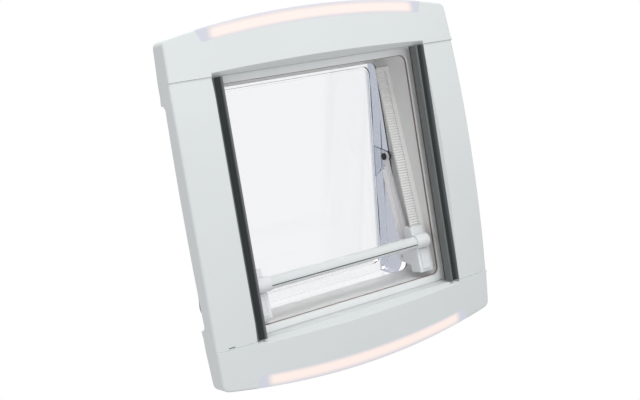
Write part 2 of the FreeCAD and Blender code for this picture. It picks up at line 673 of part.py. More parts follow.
# Hinge lugs of the lid, one between each pair of ears, lapping over the flange of the dome.
lid_lug = new_body("right_lid_lug")
lug_edge = "-dome_half - join_gap"
lap_bottom = "dome_bottom + dome_sheet + join_gap"
lug_base = [("hinge_y", "hinge_z - knuckle_radius"), (lug_edge, "pane_bottom"), (lug_edge, lap_bottom),
            ("lug_lap - dome_half", lap_bottom), ("lug_lap - dome_half", lap_bottom + " + lug_thick"),
            (lug_edge, lap_bottom + " + lug_thick"), ("hinge_y", "hinge_z + knuckle_radius")]
ear_profile(lid_lug, "lid_lug", "hinge_x - lug_half_width", "2 * lug_half_width",
            hinge_spot, "knuckle_radius", lug_base, hinge_hole)
raise_lid(lid_lug)
nodes += [lid_lug, mirrored("left_lid_lug", lid_lug, ACROSS)]

# Clear brackets under the flange of the pane carry the upper ends of the arms.
reach_y = "(arm_top_y - hinge_y)"
reach_z = "(arm_top_z - hinge_z)"
turn = "(rest_angle * 1deg)"
top_y = "hinge_y + %s * cos%s + %s * sin%s" % (reach_y, turn, reach_z, turn)
top_z = "hinge_z - %s * sin%s + %s * cos%s" % (reach_y, turn, reach_z, turn)
bracket = new_body("right_bracket")
bracket_inner = "arm_inner + arm_thick + bracket_gap"
bracket_base = [("%s - arm_top_eye" % top_y, top_z), ("%s + arm_top_eye" % top_y, top_z),
                ("%s + bracket_toe" % top_y, "pane_bottom - join_gap"),
                ("%s - bracket_heel" % top_y, "pane_bottom - join_gap")]
ear_profile(bracket, "bracket", bracket_inner, "bracket_thick", (top_y, top_z), "arm_top_eye",
            bracket_base, "pin_radius + pin_gap")
raise_lid(bracket)
nodes += [bracket, mirrored("left_bracket", bracket, ACROSS)]
arm_bolt = new_body("right_arm_bolt")
bolt_spot = ("arm_top_y", "arm_top_z")
bolt_plan = disc(arm_bolt, "bolt_plan", "YZ", "arm_inner - pin_gap", bolt_spot, "pin_radius")
grow(arm_bolt, "Pad", "bolt_pad", bolt_plan, "pin_gap + arm_thick + bracket_gap + bracket_thick")
head_plan = disc(arm_bolt, "head_plan", "YZ", "arm_inner - pin_gap", bolt_spot, "2 * pin_radius")
grow(arm_bolt, "Pad", "head_pad", head_plan, "bolt_head", back=True)
nodes += [arm_bolt, mirrored("left_arm_bolt", arm_bolt, ACROSS)]

# Lift arms: slim angle bars that widen towards the foot, with a flange on the dome side and an eye
# at each end.
arm = new_body("right_arm")
run_y = "(arm_foot_y - arm_top_y)"
run_z = "(arm_foot_z - arm_top_z)"
run = "sqrt(%s * %s + %s * %s)" % (run_y, run_y, run_z, run_z)


def arm_spot(share, aside):
    """A place beside the bowed middle line of the arm, given as a share of its length."""
    lift = "((%s) + arm_bow * %s) / %s" % (aside, 4 * share * (1 - share), run)
    return ("arm_top_y + %s * %s - %s * %s" % (share, run_y, lift, run_z),
            "arm_top_z + %s * %s + %s * %s" % (share, run_z, lift, run_y))


def half_at(share):
    """Half the width of the arm's bar, given as a share of its length."""
    return "arm_half_width * (arm_taper + (1 - arm_taper) * %s)" % share


bar_shares = (0, 0.2, 0.4, 0.6, 0.8, 1)
under = [arm_spot(share, "-" + half_at(share)) for share in bar_shares]
over = [arm_spot(share, half_at(share)) for share in bar_shares]
arm_plan = outline(arm, "arm_plan", "YZ", "arm_inner", under + over[::-1])
grow(arm, "Pad", "arm_bar", arm_plan, "arm_thick")
flange_shares = (0.12, 0.4, 0.66, 0.92)
ridge = [arm_spot(share, half_at(share)) for share in flange_shares]
below = [arm_spot(share, half_at(share) + " - arm_flange_thick") for share in flange_shares]
flange_side = outline(arm, "flange_side", "YZ", "flange_inner", below + ridge[::-1])
grow(arm, "Pad", "arm_flange", flange_side, "arm_flange + arm_thick / 2")
foot_spot = ("arm_foot_y", "arm_foot_z")
top_plan = disc(arm, "top_eye_plan", "YZ", "arm_inner", bolt_spot, "arm_top_eye")
grow(arm, "Pad", "top_eye", top_plan, "arm_thick")
foot_plan = disc(arm, "foot_eye_plan", "YZ", "flange_inner", foot_spot, "arm_eye")
grow(arm, "Pad", "foot_eye", foot_plan, "arm_flange + arm_thick")
for name, spot in (("top", bolt_spot), ("foot", foot_spot)):
    bore_plan = disc(arm, name + "_bore_plan", "YZ", "flange_inner", spot, "pin_radius + pin_gap")
    grow(arm, "Pocket", name + "_bore", bore_plan, "arm_flange + arm_thick", back=True)
nodes += [arm, mirrored("left_arm", arm, ACROSS)]

# Slider blocks: a shoe hooked round the inner edge of the rack, an ear for the arm and a bar socket.
block = new_body("right_block")
front_plan = outline(block, "front_plan", "YZ", "block_inner", [
    ("block_start", face_at("block_start", "-shoe_gap - block_front / 2")),
    ("arm_foot_y - 12", face_at("arm_foot_y - 12", "-shoe_gap - block_front")),
    ("block_end", face_at("block_end", "-shoe_gap - block_front")),
    ("block_end", face_at("block_end", "-shoe_gap")),
    ("block_start", face_at("block_start", "-shoe_gap"))])
grow(block, "Pad", "block_front", front_plan, "block_outer - block_inner")
wall_plan = outline(block, "wall_plan", "YZ", "block_inner", [
    ("block_start", face_at("block_start", "-shoe_gap - 1")),
    ("block_end", face_at("block_end", "-shoe_gap - 1")),
    ("block_end", face_at("block_end", "rack_thick + shoe_gap + block_back")),
    ("block_start", face_at("block_start", "rack_thick + shoe_gap + block_back"))])
grow(block, "Pad", "block_wall", wall_plan, "rack_inner - shoe_gap - block_inner")
back_plan = outline(block, "back_plan", "YZ", "block_inner", [
    ("block_start", face_at("block_start", "rack_thick + shoe_gap")),
    ("block_end", face_at("block_end", "rack_thick + shoe_gap")),
    ("block_end", face_at("block_end", "rack_thick + shoe_gap + block_back")),
    ("block_start", face_at("block_start", "rack_thick + shoe_gap + block_back"))])
grow(block, "Pad", "block_back", back_plan, "block_outer - block_inner")
ear_foot = face_at("arm_foot_y", "rack_thick + shoe_gap + block_back / 2")
ear_profile(block, "block_ear", "block_inner", "foot_ear", foot_spot, "arm_eye", [
    ("arm_foot_y - arm_eye - 5", ear_foot), ("arm_foot_y + arm_eye + 5", ear_foot),
    ("arm_foot_y + arm_eye", "arm_foot_z"), ("arm_foot_y - arm_eye", "arm_foot_z")], "pin_radius + pin_gap")
bar_spot = ("bar_y", "bar_z")
socket_plan = disc(block, "socket_plan", "YZ", "bar_half_length + join_gap", bar_spot, "socket_radius")
grow(block, "Pad", "socket", socket_plan, "socket_length")
nodes += [block, mirrored("left_block", block, ACROSS)]
foot_pin = new_body("right_foot_pin")
pin_plan = disc(foot_pin, "foot_pin_plan", "YZ", "block_inner", foot_spot, "pin_radius")
grow(foot_pin, "Pad", "foot_pad", pin_plan, "arm_inner + arm_thick - block_inner")
nodes += [foot_pin, mirrored("left_foot_pin", foot_pin, ACROSS)]

# Raised plates with a dished face on the room side of the blocks.
button = new_body("right_button")
plate_plan = rounded(button, "plate_plan", "0", "button_half_width", "button_half_length", "button_corner")
grow(button, "Pad", "plate", plate_plan, "button_height", back=True)
dish_plan = rounded(button, "dish_plan", "-button_height", "button_half_width - button_rim",
                    "button_half_length - button_rim", "button_corner - button_rim / 2")
grow(button, "Pocket", "dish", dish_plan, "button_dish", back=True)
button.setExpression("Placement.Base.x", bound("block_inner + block_width / 2"))
button.setExpression("Placement.Base.y", bound("button_y"))
button_seat = face_at("button_y", "-shoe_gap - block_front - join_gap / 3")
button.setExpression("Placement.Base.z", bound(button_seat))
button.setExpression("Placement.Rotation.Axis.x", "-1")
button.setExpression("Placement.Rotation.Axis.z", "0")
button.setExpression("Placement.Rotation.Angle", bound("rack_slope"))
nodes += [button, mirrored("left_button", button, ACROSS)]

# Push bar between the two sockets.
bar = new_body("push_bar")
bar_plan = disc(bar, "bar_plan", "YZ", "-bar_half_length", bar_spot, "bar_radius")
grow(bar, "Pad", "bar_tube", bar_plan, "2 * bar_half_length")
groove_plan = outline(bar, "groove_plan", "YZ", "-bar_half_length", [
    ("bar_y + groove_shift", "bar_z - bar_radius - 1"),
    ("bar_y + groove_shift + groove_width", "bar_z - bar_radius - 1"),
    ("bar_y + groove_shift + groove_width", "bar_z - bar_radius + groove_depth"),
    ("bar_y + groove_shift", "bar_z - bar_radius + groove_depth")])
grow(bar, "Pocket", "bar_groove", groove_plan, "2 * bar_half_length", back=True)
nodes.append(bar)

doc.recompute()
for item in doc.Objects:
    if "Invalid" in item.State or "Error" in item.State:
        raise SystemExit("%s did not build: %s" % (item.Label, item.State))
for node in nodes:
    if node.Shape.isNull() or not node.Shape.isValid() or not node.Shape.Solids:
        raise SystemExit("%s has no valid solid" % node.Label)
    node.Shape.exportStep("parts/%s.step" % node.Label)
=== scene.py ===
import math

import bmesh
import bpy
from mathutils import Matrix, Vector


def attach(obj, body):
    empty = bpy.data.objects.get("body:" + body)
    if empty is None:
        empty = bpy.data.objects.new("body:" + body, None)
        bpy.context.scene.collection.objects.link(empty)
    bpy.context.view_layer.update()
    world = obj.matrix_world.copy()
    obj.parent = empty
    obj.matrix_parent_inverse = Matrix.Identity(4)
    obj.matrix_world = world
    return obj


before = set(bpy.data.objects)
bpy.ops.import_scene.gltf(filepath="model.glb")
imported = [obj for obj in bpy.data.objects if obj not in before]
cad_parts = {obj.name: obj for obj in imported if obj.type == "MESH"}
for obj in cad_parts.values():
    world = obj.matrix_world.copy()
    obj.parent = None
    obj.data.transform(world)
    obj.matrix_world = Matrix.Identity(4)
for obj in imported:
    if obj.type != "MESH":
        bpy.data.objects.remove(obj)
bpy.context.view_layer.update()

scene = bpy.context.scene
scene.view_settings.view_transform = "Standard"

# Camera: it stands in the room under the hatch, off to the left and nearer the hinge end, and looks
# up into the opening. Its place and axes come from the vanishing points of the square opening.
camera_place = Vector((-0.9821, -0.1766, -1.5202))
camera_right = Vector((0.81952, 0.16287, -0.54941))
camera_up = Vector((0.19629, -0.98054, 0.00212))
camera_sensor_mm = 36
camera_lens_mm = 62.756
camera_data = bpy.data.cameras.new("room_camera")
camera_data.sensor_width = camera_sensor_mm
camera_data.lens = camera_lens_mm
camera = bpy.data.objects.new("room_camera", camera_data)
camera_turn = Matrix((camera_right, camera_up, camera_right.cross(camera_up))).transposed()
camera.matrix_world = Matrix.Translation(camera_place) @ camera_turn.to_4x4()
scene.collection.objects.link(camera)
scene.camera = camera

# Studio: a white surround that camera, mirror and glass rays see, and a softer one that lights the
# hatch from all round. A broad lamp shines from the hinge end, weaker ones from the room and the
# left, and the sky lamp lights the wall of the collar through the dome.
soft_tone = (0.96, 0.97, 0.98, 1)
soft_strength = 0.60
seen_tone = (1, 1, 1, 1)
seen_strength = 1.0
world = bpy.data.worlds.new("studio")
scene.world = world
world.use_nodes = True
sky_tree = world.node_tree
sky_tree.nodes.clear()


def feed(tree, socket, value):
    """Link another node's output to a socket, or set the socket to a plain value."""
    if isinstance(value, bpy.types.NodeSocket):
        tree.links.new(value, socket)
    else:
        socket.default_value = value


def new_math(tree, operation, *terms):
    """The result of a Math node for numbers and other nodes' outputs."""
    node = tree.nodes.new("ShaderNodeMath")
    node.operation = operation
    for socket, term in zip(node.inputs, terms):
        feed(tree, socket, term)
    return node.outputs[0]


def new_background(tone, strength):
    """The shader of an evenly lit surround."""
    node = sky_tree.nodes.new("ShaderNodeBackground")
    node.inputs["Color"].default_value = tone
    node.inputs["Strength"].default_value = strength
    return node.outputs[0]


ray = sky_tree.nodes.new("ShaderNodeLightPath").outputs
ray_direct = new_math(sky_tree, "MAXIMUM", ray["Is Camera Ray"], ray["Is Transmission Ray"])
ray_seen = new_math(sky_tree, "MAXIMUM", ray_direct, ray["Is Glossy Ray"])
sky_choice = sky_tree.nodes.new("ShaderNodeMixShader")
sky_tree.links.new(ray_seen, sky_choice.inputs[0])
sky_tree.links.new(new_background(soft_tone, soft_strength), sky_choice.inputs[1])
sky_tree.links.new(new_background(seen_tone, seen_strength), sky_choice.inputs[2])
sky_out = sky_tree.nodes.new("ShaderNodeOutputWorld")
sky_tree.links.new(sky_choice.outputs[0], sky_out.inputs["Surface"])


def hang_lamp(name, place, size, watts, through=False):
    """A square soft lamp aimed at the middle of the hatch. No surface mirrors it, and only with
    through does its light pass the dome."""
    lamp_data = bpy.data.lights.new(name, "AREA")
    lamp_data.size = size
    lamp_data.energy = watts
    lamp = bpy.data.objects.new(name, lamp_data)
    aim = Vector(place).to_track_quat("Z", "Y").to_matrix().to_4x4()
    lamp.matrix_world = Matrix.Translation(place) @ aim
    lamp.visible_glossy = False
    lamp.visible_transmission = through
    scene.collection.objects.link(lamp)


hang_lamp("hinge_end_lamp", place=(0.2, -2.1, -1.3), size=1.2, watts=30)
hang_lamp("room_lamp", place=(-0.9, 0.1, -2.3), size=1.6, watts=13)
hang_lamp("left_lamp", place=(-2.2, 0.0, -0.75), size=1.4, watts=4)
hang_lamp("sky_lamp", place=(0.3, -2.4, 1.6), size=1.2, watts=60, through=True)

# Floor: pale sheet vinyl with a faint mottle, as far below the hatch as a camper's floor is below
# its roof. It is one flat sheet.
floor_level = -3.2
floor_half = 9
floor_pale = (0.81, 0.81, 0.81)
floor_deep = (0.79, 0.79, 0.79)
floor_roughness = 0.8
mottle_scale = 3


def new_finish(name):
    """A material with its node tree and its Principled shader."""
    material = bpy.data.materials.new(name)
    material.use_nodes = True
    return material, material.node_tree, material.node_tree.nodes["Principled BSDF"]


def object_place(tree):
    """The place on the surface, in the object's own coordinates."""
    return tree.nodes.new("ShaderNodeTexCoord").outputs["Object"]


def new_mix(tree, share, first, second):
    """The colour between two tones, which are plain colours or other nodes' outputs."""
    node = tree.nodes.new("ShaderNodeMix")
    node.data_type = "RGBA"
    feed(tree, node.inputs["Factor"], share)
    for socket, tone in ((node.inputs["A"], first), (node.inputs["B"], second)):
        feed(tree, socket, (*tone, 1) if isinstance(tone, tuple) else tone)
    return node.outputs["Result"]


floor_shape = bmesh.new()
bmesh.ops.create_grid(floor_shape, x_segments=1, y_segments=1, size=floor_half)
bmesh.ops.translate(floor_shape, verts=floor_shape.verts, vec=(0, 0, floor_level))
floor_mesh = bpy.data.meshes.new("floor")
floor_shape.to_mesh(floor_mesh)
floor_shape.free()
floor = bpy.data.objects.new("floor", floor_mesh)
scene.collection.objects.link(floor)
floor_paint, floor_tree, floor_shader = new_finish("pale_floor")
floor_mottle = floor_tree.nodes.new("ShaderNodeTexNoise")
floor_mottle.inputs["Scale"].default_value = mottle_scale
floor_tree.links.new(object_place(floor_tree), floor_mottle.inputs["Vector"])
floor_tone = new_mix(floor_tree, floor_mottle.outputs["Fac"], floor_pale, floor_deep)
floor_tree.links.new(floor_tone, floor_shader.inputs["Base Color"])
floor_shader.inputs["Roughness"].default_value = floor_roughness
floor_mesh.materials.append(floor_paint)

# Trim: four rails of moulded white plastic, snapped together round the opening. The mould leaves a
# very fine matt grain, and the tone drifts a little over each long face.
grain_detail = 3
drift_detail = 2
grain_scale = 1400
drift_scale = 7
grain_strength = 0.25
moulding = bpy.data.node_groups.new("moulding_grain", "ShaderNodeTree")
for socket_name in ("Grain Scale", "Drift Scale"):
    moulding.interface.new_socket(socket_name, in_out="INPUT", socket_type="NodeSocketFloat")
for socket_name in ("Grain", "Drift"):
    moulding.interface.new_socket(socket_name, in_out="OUTPUT", socket_type="NodeSocketFloat")
moulding_in = moulding.nodes.new("NodeGroupInput")
moulding_out = moulding.nodes.new("NodeGroupOutput")
moulding_place = object_place(moulding)
for effect, detail in (("Grain", grain_detail), ("Drift", drift_detail)):
    noise = moulding.nodes.new("ShaderNodeTexNoise")
    noise.inputs["Detail"].default_value = detail
    moulding.links.new(moulding_place, noise.inputs["Vector"])
    moulding.links.new(moulding_in.outputs[effect + " Scale"], noise.inputs["Scale"])
    moulding.links.new(noise.outputs["Fac"], moulding_out.inputs[effect])


def new_grain(tree, fine, coarse):
    """The outputs Grain and Drift of the moulding group at two scales."""
    node = tree.nodes.new("ShaderNodeGroup")
    node.node_tree = moulding
    node.inputs["Grain Scale"].default_value = fine
    node.inputs["Drift Scale"].default_value = coarse
    return node.outputs


def new_ramp(tree, value, start=0.0, end=1.0, low=0.0, high=1.0, curve="LINEAR"):
    """A value's way from start to end, as a number from low to high."""
    node = tree.nodes.new("ShaderNodeMapRange")
    node.interpolation_type = curve
    feed(tree, node.inputs["Value"], value)
    node.inputs["From Min"].default_value = start
    node.inputs["From Max"].default_value = end
    node.inputs["To Min"].default_value = low
    node.inputs["To Max"].default_value = high
    return node.outputs["Result"]


def moulded_plastic(name, pale, deep, rough, grain_depth):
    """Matt moulded plastic whose colour drifts between two close tones."""
    material, tree, shader = new_finish(name)
    grain = new_grain(tree, grain_scale, drift_scale)
    bump = tree.nodes.new("ShaderNodeBump")
    bump.inputs["Strength"].default_value = grain_strength
    bump.inputs["Distance"].default_value = grain_depth
    tree.links.new(grain["Grain"], bump.inputs["Height"])
    tree.links.new(new_mix(tree, grain["Drift"], pale, deep), shader.inputs["Base Color"])
    roughness = new_ramp(tree, grain["Grain"], low=rough[0], high=rough[1])
    tree.links.new(roughness, shader.inputs["Roughness"])
    tree.links.new(bump.outputs["Normal"], shader.inputs["Normal"])
    return material


def dress(material, *names):
    """Give CAD pieces a finish."""
    for name in names:
        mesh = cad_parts[name].data
        mesh.materials.clear()
        mesh.materials.append(material)


trim_white = moulded_plastic("trim_white", pale=(0.71, 0.74, 0.74), deep=(0.67, 0.70, 0.70),
                             rough=(0.42, 0.55), grain_depth=0.00012)
dress(trim_white, "hinge_end_rail", "opening_end_rail", "left_side_rail", "right_side_rail")

# Lining ring: a flat white moulding that closes the joint between the collar and the trim. It is
# clipped in and has the same grain. Its white is lighter than the trim's: painted light that lifts
# the ring where it lies in the shade of the guides.
# The lighter white here is painted light on a ring in shade.
ring_white_lightened = moulded_plastic("ring_white_lightened", pale=(0.82, 0.84, 0.84), deep=(0.78, 0.80, 0.80),
                             rough=(0.42, 0.55), grain_depth=0.00012)
dress(ring_white_lightened, "lining_ring")

# Roof frame: one large moulding with the flange, the collar and the upstand, a little glossier than
# the trim, because its tool is polished where it meets the weather. The ears of the hinges on it and
# the lugs on the dome are of the same plastic.
frame_white = moulded_plastic("frame_white", pale=(0.74, 0.74, 0.735), deep=(0.70, 0.70, 0.695),
                              rough=(0.34, 0.46), grain_depth=0.00008)
dress(frame_white, "roof_frame", "left_outer_ear", "right_outer_ear", "left_inner_ear",
      "right_inner_ear", "left_lid_lug", "right_lid_lug")

# Rim seal: a black extruded rubber cord with a matt skin, pressed onto the rim of the upstand, cut
# to length and joined at the hinge end.
seal_black = moulded_plastic("seal_black", pale=(0.035, 0.036, 0.042), deep=(0.022, 0.022, 0.026),
                             rough=(0.55, 0.75), grain_depth=0.0003)
dress(seal_black, "rim_seal")

# Joint band: the thin brown sealing band that shows between the lining ring and the lip of the
# collar. It is a soft extruded strip pressed into the joint.
band_half = 0.1881
band_corner = 0.0129
band_corner_steps = 6
band_bottom = -0.0363
band_height = 0.0030
band_thickness = 0.0009
same_place = 0.000001


def raised_corners(extrusion):
    """The corners that an extrusion has made."""
    return [part for part in extrusion["geom"] if isinstance(part, bmesh.types.BMVert)]


def add_piece(name, shape, material, body):
    """A finished mesh as a piece that rides on a body and takes its finish from a slot."""
    mesh = bpy.data.meshes.new(name)
    bmesh.ops.remove_doubles(shape, verts=shape.verts, dist=same_place)
    bmesh.ops.recalc_face_normals(shape, faces=shape.faces)
    shape.to_mesh(mesh)
    shape.free()
    mesh.materials.append(material)
    piece = bpy.data.objects.new(name, mesh)
    scene.collection.objects.link(piece)
    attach(piece, body)


band_shape = bmesh.new()
bmesh.ops.create_grid(band_shape, x_segments=1, y_segments=1, size=band_half)
bmesh.ops.bevel(band_shape, geom=band_shape.verts[:], offset=band_corner, offset_type="OFFSET",
                affect="VERTICES", segments=band_corner_steps, profile=0.5, material=-1)
bmesh.ops.translate(band_shape, verts=band_shape.verts, vec=(0, 0, band_bottom))
band_inset = bmesh.ops.inset_region(band_shape, faces=band_shape.faces[:], thickness=band_thickness,
                                    use_boundary=True, use_even_offset=True)
band_inner = [face for face in band_shape.faces if face not in band_inset["faces"]]
bmesh.ops.delete(band_shape, geom=band_inner, context="FACES")
band_raised = bmesh.ops.extrude_face_region(band_shape, geom=band_shape.faces[:])
bmesh.ops.translate(band_shape, verts=raised_corners(band_raised), vec=(0, 0, band_height))
band_brown = moulded_plastic("band_brown", pale=(0.260, 0.185, 0.155), deep=(0.210, 0.150, 0.125),
                             rough=(0.55, 0.70), grain_depth=0.0002)
add_piece("joint_band", band_shape, band_brown, "frame")

# Unclipping slot in the left side rail, beside its lower seam: a narrow slit that takes a flat tool.
# The shade inside the slit is painted as a thin dark plate that sits level with the face of the
# rail.
slot_place = Vector((-0.24245, 0.1979, -0.06928))
slot_facing = Vector((-0.0857, 0.0697, -0.9939))
slot_length = 0.0104
slot_width = 0.0012
slot_proud = 0.00015
slot_depth = 0.0006
slot_round = 0.0001
slot_cuts = 4


def new_ribbon(size, cuts, edge_round):
    """A bar that stands on the level z = 0, in the middle of x and y, with rounded lower edges."""
    level_limit = 0.0001
    sharp_angle = 1
    shape = bmesh.new()
    bmesh.ops.create_grid(shape, x_segments=cuts[0], y_segments=cuts[1], size=0.5)
    bmesh.ops.scale(shape, verts=shape.verts, vec=(size[0], size[1], 1))
    raised = bmesh.ops.extrude_face_region(shape, geom=shape.faces[:])
    bmesh.ops.translate(shape, verts=raised_corners(raised), vec=(0, 0, size[2]))
    lower_edges = [edge for edge in shape.edges
                   if all(abs(corner.co.z) < level_limit for corner in edge.verts)
                   and len(edge.link_faces) == 2 and edge.calc_face_angle(0) > sharp_angle]
    bmesh.ops.bevel(shape, geom=lower_edges, offset=edge_round, affect="EDGES", segments=2,
                    profile=0.5, material=-1)
    return shape


slot_shape = new_ribbon((slot_length, slot_width, slot_depth), (slot_cuts, 1), slot_round)
bmesh.ops.translate(slot_shape, verts=slot_shape.verts, vec=(0, 0, -slot_proud))
slot_turn = Vector((0, 0, -1)).rotation_difference(slot_facing).to_matrix().to_4x4()
bmesh.ops.transform(slot_shape, matrix=Matrix.Translation(slot_place) @ slot_turn,
                    verts=slot_shape.verts)
# The dark plate is painted shade for the inside of the slit.
add_piece("left_rail_slot_shade", slot_shape, seal_black, "frame")

# Guide channels: extruded dark aluminium profiles for the blind, hollowed on the room side, with
# fine draw lines along their length. Painted highlights lighten the lip along the opening and the
# edge along the rail, where their rounded edges would catch the light.
draw_lines = (2400, 6, 2400)
guide_deep = (0.018, 0.022, 0.022)
guide_pale = (0.028, 0.034, 0.034)
# Painted highlight tones for the lip by the opening and the edge by the rail.
guide_lip_highlight_tone = (0.150, 0.162, 0.160)
guide_edge_highlight_tone = (0.110, 0.128, 0.130)
guide_lip_highlight_start, guide_lip_highlight_end = 0.1885, 0.1845
guide_edge_highlight_start, guide_edge_highlight_end = 0.1945, 0.2000
guide_roughness = 0.42
guide_specular = 0.35


def new_axes(tree):
    """The place on the surface as the outputs X, Y and Z."""
    node = tree.nodes.new("ShaderNodeSeparateXYZ")
    tree.links.new(object_place(tree), node.inputs["Vector"])
    return node.outputs


guide_dark, guide_tree, guide_shader = new_finish("guide_dark")
guide_stretch = guide_tree.nodes.new("ShaderNodeMapping")
guide_stretch.inputs["Scale"].default_value = draw_lines
guide_tree.links.new(object_place(guide_tree), guide_stretch.inputs["Vector"])
guide_lines = guide_tree.nodes.new("ShaderNodeTexNoise")
guide_lines.inputs["Scale"].default_value = 1
guide_tree.links.new(guide_stretch.outputs["Vector"], guide_lines.inputs["Vector"])
guide_aside = new_math(guide_tree, "ABSOLUTE", new_axes(guide_tree)["X"])
# Masks of the painted highlights along the lip and along the rail edge.
guide_lip_highlight = new_ramp(guide_tree, guide_aside, guide_lip_highlight_start, guide_lip_highlight_end, curve="SMOOTHSTEP")
guide_edge_highlight = new_ramp(guide_tree, guide_aside, guide_edge_highlight_start, guide_edge_highlight_end, curve="SMOOTHSTEP")
guide_tone = new_mix(guide_tree, guide_lines.outputs["Fac"], guide_deep, guide_pale)
guide_tone = new_mix(guide_tree, guide_lip_highlight, guide_tone, guide_lip_highlight_tone)
guide_tone = new_mix(guide_tree, guide_edge_highlight, guide_tone, guide_edge_highlight_tone)
guide_tree.links.new(guide_tone, guide_shader.inputs["Base Color"])
guide_shader.inputs["Roughness"].default_value = guide_roughness
guide_shader.inputs["Specular IOR Level"].default_value = guide_specular
dress(guide_dark, "left_guide", "right_guide")

# Brush piles along the inner edges of the guides: a narrow woven strip of brown bristles that closes
# the gap to the blind, pushed into a groove of the profile. The brown is darkened with painted
# shade, so that the pile also stands for the dark shade line between the lining ring and the guide.
pile_face = 0.1834
pile_thickness = 0.0007
pile_low = -0.0592
pile_high = -0.0566
pile_half_length = 0.1985
pile_cuts = 40
pile_size = (pile_thickness, 2 * pile_half_length, pile_high - pile_low)
pile_middle = pile_face - pile_thickness / 2
# Dark brown: the bristles' own brown, darkened with painted shade.
pile_shaded_brown = moulded_plastic("pile_shaded_brown", pale=(0.105, 0.075, 0.060), deep=(0.070, 0.050, 0.040),
                             rough=(0.8, 0.95), grain_depth=0.0006)
for side, side_name in ((1, "right"), (-1, "left")):
    pile_shape = new_ribbon(pile_size, (1, pile_cuts), pile_thickness / 3)
    bmesh.ops.translate(pile_shape, verts=pile_shape.verts, vec=(side * pile_middle, 0, pile_low))
    add_piece(side_name + "_pile", pile_shape, pile_shaded_brown, "frame")

# Light strips: milky diffusers clipped into the outer edge of the end rails and lit from behind. The
# lamps stop short of the ends and the long edges, so the warm glow fades to lavender there.
glow_end_dark, glow_end_lit = 0.197, 0.180
glow_depth_dark, glow_depth_lit = -0.0645, -0.0690
glow_inner_dark, glow_inner_lit = 0.2620, 0.2710
glow_outer_dark, glow_outer_lit = 0.2880, 0.2765
strip_bow = 0.316
strip_unlit = (0.40, 0.41, 0.475)
strip_lit = (0.76, 0.625, 0.56)
strip_body = (0.24, 0.24, 0.25, 1)
strip_roughness = 0.45
strip_glow, strip_tree, strip_shader = new_finish("strip_glow")
strip_axes = new_axes(strip_tree)
strip_aside = new_math(strip_tree, "ABSOLUTE", strip_axes["X"])
strip_outward = new_math(strip_tree, "ABSOLUTE", strip_axes["Y"])
strip_square = new_math(strip_tree, "MULTIPLY", strip_axes["X"], strip_axes["X"])
strip_across = new_math(strip_tree, "MULTIPLY_ADD", strip_square, strip_bow, strip_outward)
strip_share = 1.0
for strip_measure, dark_place, lit_place in (
        (strip_aside, glow_end_dark, glow_end_lit),
        (strip_axes["Z"], glow_depth_dark, glow_depth_lit),
        (strip_across, glow_inner_dark, glow_inner_lit),
        (strip_across, glow_outer_dark, glow_outer_lit)):
    strip_fade = new_ramp(strip_tree, strip_measure, dark_place, lit_place, curve="SMOOTHSTEP")
    strip_share = new_math(strip_tree, "MULTIPLY", strip_share, strip_fade)
strip_color = new_mix(strip_tree, strip_share, strip_unlit, strip_lit)
strip_tree.links.new(strip_color, strip_shader.inputs["Emission Color"])
strip_shader.inputs["Emission Strength"].default_value = 1.0
strip_shader.inputs["Base Color"].default_value = strip_body
strip_shader.inputs["Roughness"].default_value = strip_roughness
dress(strip_glow, "hinge_end_light", "opening_end_light")

# Racks: white moulded strips with teeth and latch notches, screwed to the side walls of the collar.
# Their plastic is a touch warmer than the trim.
works_white = moulded_plastic("works_white", pale=(0.80, 0.80, 0.79), deep=(0.76, 0.76, 0.75),
                              rough=(0.38, 0.50), grain_depth=0.00010)
dress(works_white, "left_rack", "right_rack")

# Slider blocks with their plates: brighter white mouldings of a harder, smoother plastic that runs
# easily on the racks.
slide_white = moulded_plastic("slide_white", pale=(0.79, 0.81, 0.82), deep=(0.75, 0.77, 0.78),
                              rough=(0.32, 0.44), grain_depth=0.00006)
dress(slide_white, "left_block", "right_block", "left_button", "right_button")

# Lift arms: tapered angle-section mouldings of the brightest white, bolted to the brackets of the
# dome and pinned to the slider blocks. The extra brightness is painted light that lifts the arms
# where they hang in the shade of the lid.
# This brightest white is painted light on arms that lie in shade.
arm_white_lightened = moulded_plastic("arm_white_lightened", pale=(0.92, 0.91, 0.93), deep=(0.88, 0.87, 0.89),
                            rough=(0.32, 0.44), grain_depth=0.00006)
dress(arm_white_lightened, "left_arm", "right_arm")

# Push bar: a drawn aluminium tube with a smooth white coat. Its ends sit in the round sockets of the
# slider blocks.
bar_white = moulded_plastic("bar_white", pale=(0.72, 0.75, 0.75), deep=(0.69, 0.72, 0.72),
                            rough=(0.28, 0.36), grain_depth=0.00005)
dress(bar_white, "push_bar")

# Dark inlay in the groove along the push bar: a narrow rubber strip pressed in from the room side,
# so that the bar doesn't slip in the hand.
inlay_half_length = 0.1449
inlay_low = -0.0465
inlay_high = -0.0446
inlay_start = 0.1282
inlay_end = 0.1296
inlay_round = 0.0003
inlay_cuts = 24
inlay_size = (2 * inlay_half_length, inlay_end - inlay_start, inlay_high - inlay_low)
inlay_shape = new_ribbon(inlay_size, (inlay_cuts, 1), inlay_round)
bmesh.ops.translate(inlay_shape, verts=inlay_shape.verts,
                    vec=(0, (inlay_start + inlay_end) / 2, inlay_low))
add_piece("bar_inlay", inlay_shape, seal_black, "slider")

# Dome: two sheets of clear acrylic, an outer bubble and a flat inner pane, welded together along the
# border, where the doubled sheet looks lavender beside the clear field.
field_half = 0.1735
field_middle = -0.004
field_reach = 0.171
field_edge = 0.001
field_tone = (0.966, 0.968, 0.975)
weld_tone = (0.960, 0.962, 0.970)
lavender_tone = (0.530, 0.562, 0.632)
sheet_roughness = 0.02
sheet_bend = 1.35


